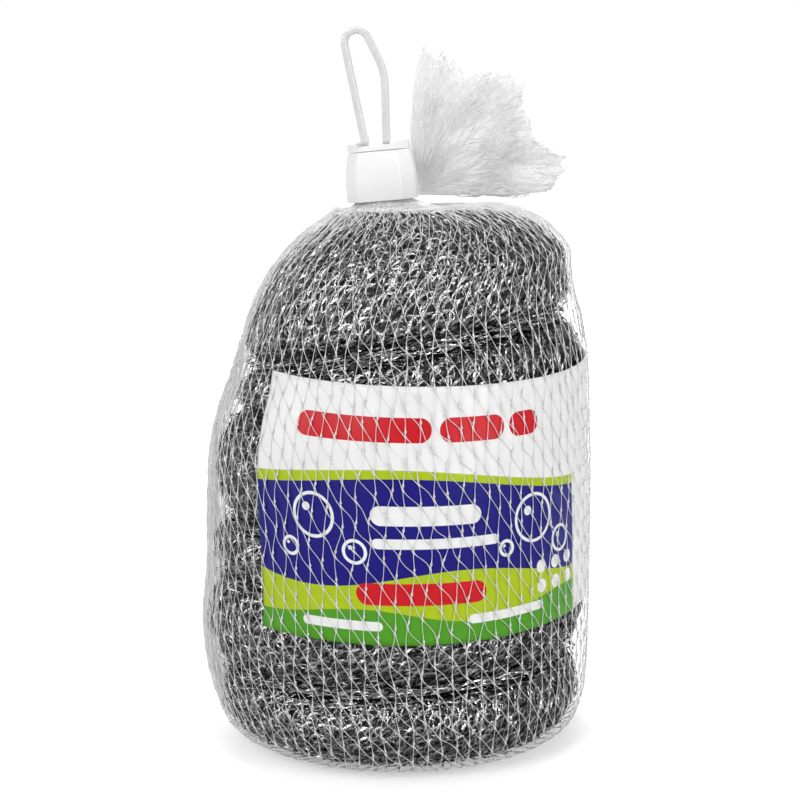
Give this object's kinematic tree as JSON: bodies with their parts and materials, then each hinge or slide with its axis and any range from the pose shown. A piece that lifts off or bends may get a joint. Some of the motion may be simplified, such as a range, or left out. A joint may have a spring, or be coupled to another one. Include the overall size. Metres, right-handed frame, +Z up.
{
  "type": "net pack of metal pot scrubbers",
  "caption": "Stack of knitted metal pot scrubbers in a white mesh net bag with a printed sleeve, a moulded clip with a hanging loop, and a frayed net tail.",
  "frame": {"origin": "middle of the flat underside, on the surface the pack stands on", "axes": "+Z up through the stack to the hanging loop, +X to the right, -Y to the front, where the sleeve's print shows"},
  "size_m": [0.0925, 0.0924, 0.1645],
  "materials": {
    "scrubber_metal": "bright flat wire, knitted",
    "net_plastic": "extruded mesh, satin",
    "sleeve_print": "printed film, satin",
    "clip_plastic": "moulded, semi-gloss"
  },
  "bodies": {
    "pack": {"scrubber_1": "scrubber_metal", "scrubber_2": "scrubber_metal", "scrubber_3": "scrubber_metal", "scrubber_4": "scrubber_metal", "scrubber_5": "scrubber_metal", "scrubber_6": "scrubber_metal", "net_bag": "net_plastic", "base_weld": "net_plastic", "print_sleeve": "sleeve_print"},
    "neck": {"net_neck": "net_plastic"},
    "clip": {"clip_housing": "clip_plastic", "clip_plug": "clip_plastic", "net_bunch": "net_plastic"},
    "loop": {"hang_loop": "clip_plastic"},
    "tail": {"net_tail": "net_plastic"}
  },
  "joints": [
    {"name": "neck_side_lean", "type": "hinge", "parent": "pack", "child": "neck", "pos_m": [-0.0034, 0, 0.1253], "axis": [0, 1, 0], "range_deg": [-12, 2], "deforming": ["net_neck"]},
    {"name": "neck_front_lean", "type": "hinge", "parent": "neck", "child": "clip", "pos_m": [-0.0034, 0, 0.1253], "axis": [1, 0, 0], "range_deg": [-8, 45], "deforming": ["net_neck"]},
    {"name": "loop_bend", "type": "hinge", "parent": "clip", "child": "loop", "pos_m": [-0.00459, 0, 0.1389], "axis": [0.9865, -0.1392, 0.0863], "range_deg": [-70, 70], "stiffness_Nm_per_rad": 0.00001},
    {"name": "tail_swing", "type": "hinge", "parent": "clip", "child": "tail", "pos_m": [-0.0034, 0.0074, 0.1286], "axis": [1, 0, 0], "range_deg": [-40, 4], "stiffness_Nm_per_rad": 0.0001}
  ]
}
